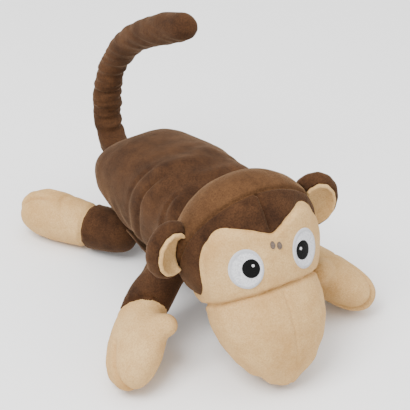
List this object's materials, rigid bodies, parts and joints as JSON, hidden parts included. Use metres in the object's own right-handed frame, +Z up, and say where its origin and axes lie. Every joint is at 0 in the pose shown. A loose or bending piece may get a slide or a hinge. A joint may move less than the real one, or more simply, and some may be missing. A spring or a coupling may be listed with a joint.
{
  "type": "battery-powered plush monkey toy",
  "caption": "Plush monkey lying on its belly. A mechanism in its torso rolls the head and arms against the hind body; it has a raised wired tail and a belly flap over the batteries.",
  "frame": {"origin": "middle of the bottom of the whole box, on the floor that the monkey lies on", "axes": "the monkey faces -Y, +X is its left side, +Z is up"},
  "size_m": [0.2014, 0.2814, 0.1911],
  "materials": {
    "brown_plush": "short-pile velour",
    "tan_plush": "short-pile velour",
    "white_thread": "satin embroidery",
    "black_thread": "satin embroidery",
    "fibre": "loose polyester fibre",
    "white_tape": "woven hook-and-loop tape",
    "satin_label": "satin",
    "case_plastic": "moulded",
    "gear_plastic": "moulded",
    "board": "solder-masked",
    "cell_sleeve": "plain sleeve",
    "steel": "plated"
  },
  "bodies": {
    "torso": {"torso_skin": "brown_plush", "rump_stuffing": "fibre", "case_upper": "case_plastic", "case_lower": "case_plastic", "case_screw_1": "steel", "case_screw_2": "steel", "case_screw_3": "steel", "case_screw_4": "steel", "gear_plate": "case_plastic", "motor": "steel", "circuit_board": "board", "speaker": "steel", "switch_body": "steel", "battery_1": "cell_sleeve", "battery_2": "cell_sleeve", "battery_3": "cell_sleeve", "contact_left": "steel", "contact_right": "steel", "loop_tape": "white_tape", "care_label": "satin_label"},
    "front_half": {"shoulder_skin": "brown_plush", "head_back_skin": "brown_plush", "head_brow_skin": "brown_plush", "face_mask": "tan_plush", "muzzle_skin": "tan_plush", "head_stuffing": "fibre", "ear_left": "brown_plush", "ear_lining_left": "tan_plush", "eye_white_left": "white_thread", "eye_pupil_left": "black_thread", "ear_right": "brown_plush", "ear_lining_right": "tan_plush", "eye_white_right": "white_thread", "eye_pupil_right": "black_thread", "arm_sleeve_left": "brown_plush", "hand_left": "tan_plush", "arm_stuffing_left": "fibre", "arm_sleeve_right": "brown_plush", "hand_right": "tan_plush", "arm_stuffing_right": "fibre", "shoulder_yoke": "case_plastic", "output_gear": "gear_plastic"},
    "tail": {"tail_skin": "brown_plush", "tail_stuffing": "fibre", "tail_wire": "steel"},
    "leg_left": {"leg_sleeve_left": "brown_plush", "foot_left": "tan_plush", "leg_stuffing_left": "fibre"},
    "leg_right": {"leg_sleeve_right": "brown_plush", "foot_right": "tan_plush", "leg_stuffing_right": "fibre"},
    "reduction_gear_1": {"reduction_gear_1": "gear_plastic"},
    "reduction_gear_2": {"reduction_gear_2": "gear_plastic"},
    "reduction_gear_3": {"reduction_gear_3": "gear_plastic"},
    "motor_pinion": {"motor_pinion": "steel"},
    "switch_knob": {"switch_knob": "gear_plastic"},
    "battery_door": {"battery_door": "case_plastic", "door_screw": "steel"},
    "belly_flap": {"belly_flap": "brown_plush", "hook_tape": "white_tape"}
  },
  "joints": [
    {"name": "shoulder_roll", "type": "hinge", "parent": "torso", "child": "front_half", "pos_m": [0.00292, -0.01748, 0.074], "axis": [0, 1, 0], "range_deg": [-85, 85]},
    {"name": "reduction_gear_1_spin", "type": "hinge", "parent": "torso", "child": "reduction_gear_1", "pos_m": [0.0176, 0.00252, 0.07007], "axis": [0, 1, 0], "range_deg": [-330, 330]},
    {"name": "reduction_gear_2_spin", "type": "hinge", "parent": "torso", "child": "reduction_gear_2", "pos_m": [0.0154, 0.00252, 0.08268], "axis": [0, 1, 0], "range_deg": [-1000, 1000]},
    {"name": "reduction_gear_3_spin", "type": "hinge", "parent": "torso", "child": "reduction_gear_3", "pos_m": [0.00435, 0.00252, 0.08913], "axis": [0, 1, 0], "range_deg": [-2900, 2900]},
    {"name": "motor_spin", "type": "hinge", "parent": "torso", "child": "motor_pinion", "pos_m": [-0.00205, 0.00252, 0.07805], "axis": [0, 1, 0], "range_deg": [-8700, 8700]},
    {"name": "left_leg_swing", "type": "hinge", "parent": "torso", "child": "leg_left", "pos_m": [0.03292, 0.05152, 0.0205], "axis": [0, 0, 1], "range_deg": [-15, 15], "stiffness_Nm_per_rad": 0.15},
    {"name": "right_leg_swing", "type": "hinge", "parent": "torso", "child": "leg_right", "pos_m": [-0.02708, 0.05152, 0.0205], "axis": [0, 0, 1], "range_deg": [-15, 15], "stiffness_Nm_per_rad": 0.15},
    {"name": "tail_bend", "type": "hinge", "parent": "torso", "child": "tail", "pos_m": [0.00292, 0.10202, 0.051], "axis": [1, 0, 0], "range_deg": [-30, 25]},
    {"name": "belly_flap_open", "type": "hinge", "parent": "torso", "child": "belly_flap", "pos_m": [-0.03008, 0.01052, 0.0354], "axis": [0, 1, 0], "range_deg": [-1, 100]},
    {"name": "battery_door_drop", "type": "slide", "parent": "torso", "child": "battery_door", "axis": [0, 0, -1], "range_m": [0, 0.004]},
    {"name": "switch_slide", "type": "slide", "parent": "torso", "child": "switch_knob", "axis": [1, 0, 0], "range_m": [0, 0.004]}
  ],
  "couplings": [
    {"joint": "reduction_gear_1_spin", "follows": "shoulder_roll", "ratio": -3.75},
    {"joint": "reduction_gear_2_spin", "follows": "shoulder_roll", "ratio": 11.25},
    {"joint": "reduction_gear_3_spin", "follows": "shoulder_roll", "ratio": -33.75},
    {"joint": "motor_spin", "follows": "shoulder_roll", "ratio": 101.25}
  ]
}
